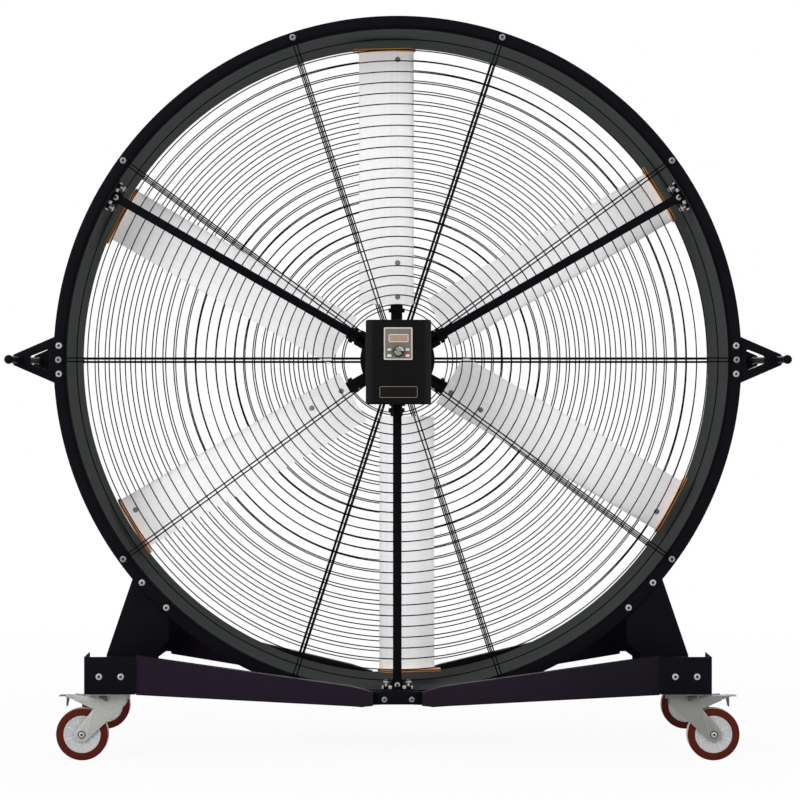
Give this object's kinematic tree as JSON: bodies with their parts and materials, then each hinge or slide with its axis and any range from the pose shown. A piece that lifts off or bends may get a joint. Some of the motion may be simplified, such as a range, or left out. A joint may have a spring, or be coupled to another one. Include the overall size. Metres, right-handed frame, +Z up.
{
  "type": "drum fan",
  "caption": "Large drum fan with wire guards and a bladed rotor on a motor held by radial bars, a control box in front, side push handles and a V-beam base on braked swivel casters.",
  "frame": {"origin": "on the floor under the middle of the footprint, from the push handles in front to the rear trays", "axes": "+Z up, -Y towards the front where the control box is, +X to the right seen from the front"},
  "size_m": [2.238, 1.031, 2.1486],
  "materials": {
    "black_paint": "satin black powder coat",
    "beam_paint": "satin black powder coat with a plum cast",
    "guard_wire": "satin black powder-coated steel wire",
    "bearing_steel": "ground bearing steel",
    "box_shell": "fine-textured black paint",
    "keypad_face": "matt grey moulded plastic",
    "display_glass": "dark glossy window",
    "label_plate": "bare dark plate with a thin light border",
    "knob_black": "ribbed black plastic",
    "key_grey": "matt grey key",
    "key_green": "matt green key",
    "key_red": "matt red key",
    "blade_aluminium": "extruded and anodised, fine lines along the blade",
    "winglet_orange": "satin orange moulded plastic",
    "zinc_plate": "zinc-plated pressed steel",
    "wheel_core": "light grey cast core",
    "wheel_tread": "dark red polyurethane tread"
  },
  "bodies": {
    "frame": {"drum_shell": "black_paint", "front_guard": "guard_wire", "rear_guard": "guard_wire", "motor_housing": "black_paint", "motor_bearing": "bearing_steel", "motor_bar_1": "black_paint", "motor_bar_2": "black_paint", "motor_bar_3": "black_paint", "control_box": "box_shell", "keypad": "keypad_face", "display_window": "display_glass", "nameplate": "label_plate", "handle_plate_front_right": "black_paint", "handle_plate_rear_right": "black_paint", "handle_bar_right": "black_paint", "handle_plate_front_left": "black_paint", "handle_plate_rear_left": "black_paint", "handle_bar_left": "black_paint", "side_frame_right": "black_paint", "side_frame_left": "black_paint", "front_beam": "beam_paint", "rear_beam": "beam_paint", "caster_plate_front_right": "zinc_plate", "caster_plate_front_left": "zinc_plate", "caster_plate_rear_right": "zinc_plate", "caster_plate_rear_left": "zinc_plate"},
    "rotor": {"rotor_hub": "black_paint", "blade_1": "blade_aluminium", "blade_2": "blade_aluminium", "blade_3": "blade_aluminium", "blade_4": "blade_aluminium", "blade_5": "blade_aluminium", "blade_6": "blade_aluminium", "winglet_1": "winglet_orange", "winglet_2": "winglet_orange", "winglet_3": "winglet_orange", "winglet_4": "winglet_orange", "winglet_5": "winglet_orange", "winglet_6": "winglet_orange"},
    "knob": {"speed_knob": "knob_black"},
    "key_up": {"button_up": "key_grey"},
    "key_down": {"button_down": "key_grey"},
    "key_start": {"button_start": "key_green"},
    "key_stop": {"button_stop": "key_red"},
    "swivel_front_right": {"caster_fork_front_right": "zinc_plate"},
    "wheel_front_right": {"wheel_core_front_right": "wheel_core", "tyre_front_right": "wheel_tread"},
    "brake_front_right": {"brake_pedal_front_right": "zinc_plate"},
    "swivel_front_left": {"caster_fork_front_left": "zinc_plate"},
    "wheel_front_left": {"wheel_core_front_left": "wheel_core", "tyre_front_left": "wheel_tread"},
    "brake_front_left": {"brake_pedal_front_left": "zinc_plate"},
    "swivel_rear_right": {"caster_fork_rear_right": "zinc_plate"},
    "wheel_rear_right": {"wheel_core_rear_right": "wheel_core", "tyre_rear_right": "wheel_tread"},
    "brake_rear_right": {"brake_pedal_rear_right": "zinc_plate"},
    "swivel_rear_left": {"caster_fork_rear_left": "zinc_plate"},
    "wheel_rear_left": {"wheel_core_rear_left": "wheel_core", "tyre_rear_left": "wheel_tread"},
    "brake_rear_left": {"brake_pedal_rear_left": "zinc_plate"}
  },
  "joints": [
    {"name": "rotor_spin", "type": "hinge", "parent": "frame", "child": "rotor", "pos_m": [0, 0.0205, 1.1486], "axis": [0, 1, 0], "continuous": true},
    {"name": "knob_turn", "type": "hinge", "parent": "frame", "child": "knob", "pos_m": [0.002, -0.404, 1.1716], "axis": [0, -1, 0], "range_deg": [-150, 150]},
    {"name": "key_up_press", "type": "slide", "parent": "frame", "child": "key_up", "axis": [0, 1, 0], "range_m": [0, 0.0015], "stiffness_N_per_m": 300},
    {"name": "key_down_press", "type": "slide", "parent": "frame", "child": "key_down", "axis": [0, 1, 0], "range_m": [0, 0.0015], "stiffness_N_per_m": 300},
    {"name": "key_start_press", "type": "slide", "parent": "frame", "child": "key_start", "axis": [0, 1, 0], "range_m": [0, 0.0015], "stiffness_N_per_m": 300},
    {"name": "key_stop_press", "type": "slide", "parent": "frame", "child": "key_stop", "axis": [0, 1, 0], "range_m": [0, 0.0015], "stiffness_N_per_m": 300},
    {"name": "swivel_front_right", "type": "hinge", "parent": "frame", "child": "swivel_front_right", "pos_m": [0.82, -0.3915, 0.185], "axis": [0, 0, 1], "continuous": true},
    {"name": "wheel_front_right", "type": "hinge", "parent": "swivel_front_right", "child": "wheel_front_right", "pos_m": [0.9045, -0.3915, 0.075], "axis": [0, 1, 0], "continuous": true},
    {"name": "brake_front_right", "type": "hinge", "parent": "swivel_front_right", "child": "brake_front_right", "pos_m": [0.914, -0.3915, 0.178], "axis": [0, 1, 0], "range_deg": [0, 18]},
    {"name": "swivel_front_left", "type": "hinge", "parent": "frame", "child": "swivel_front_left", "pos_m": [-0.82, -0.3915, 0.185], "axis": [0, 0, 1], "continuous": true},
    {"name": "wheel_front_left", "type": "hinge", "parent": "swivel_front_left", "child": "wheel_front_left", "pos_m": [-0.9045, -0.3915, 0.075], "axis": [0, 1, 0], "continuous": true},
    {"name": "brake_front_left", "type": "hinge", "parent": "swivel_front_left", "child": "brake_front_left", "pos_m": [-0.914, -0.3915, 0.178], "axis": [0, -1, 0], "range_deg": [0, 18]},
    {"name": "swivel_rear_right", "type": "hinge", "parent": "frame", "child": "swivel_rear_right", "pos_m": [0.82, 0.4325, 0.185], "axis": [0, 0, 1], "continuous": true},
    {"name": "wheel_rear_right", "type": "hinge", "parent": "swivel_rear_right", "child": "wheel_rear_right", "pos_m": [0.9045, 0.4325, 0.075], "axis": [0, 1, 0], "continuous": true},
    {"name": "brake_rear_right", "type": "hinge", "parent": "swivel_rear_right", "child": "brake_rear_right", "pos_m": [0.914, 0.4325, 0.178], "axis": [0, 1, 0], "range_deg": [0, 18]},
    {"name": "swivel_rear_left", "type": "hinge", "parent": "frame", "child": "swivel_rear_left", "pos_m": [-0.82, 0.4325, 0.185], "axis": [0, 0, 1], "continuous": true},
    {"name": "wheel_rear_left", "type": "hinge", "parent": "swivel_rear_left", "child": "wheel_rear_left", "pos_m": [-0.9045, 0.4325, 0.075], "axis": [0, 1, 0], "continuous": true},
    {"name": "brake_rear_left", "type": "hinge", "parent": "swivel_rear_left", "child": "brake_rear_left", "pos_m": [-0.914, 0.4325, 0.178], "axis": [0, -1, 0], "range_deg": [0, 18]}
  ]
}
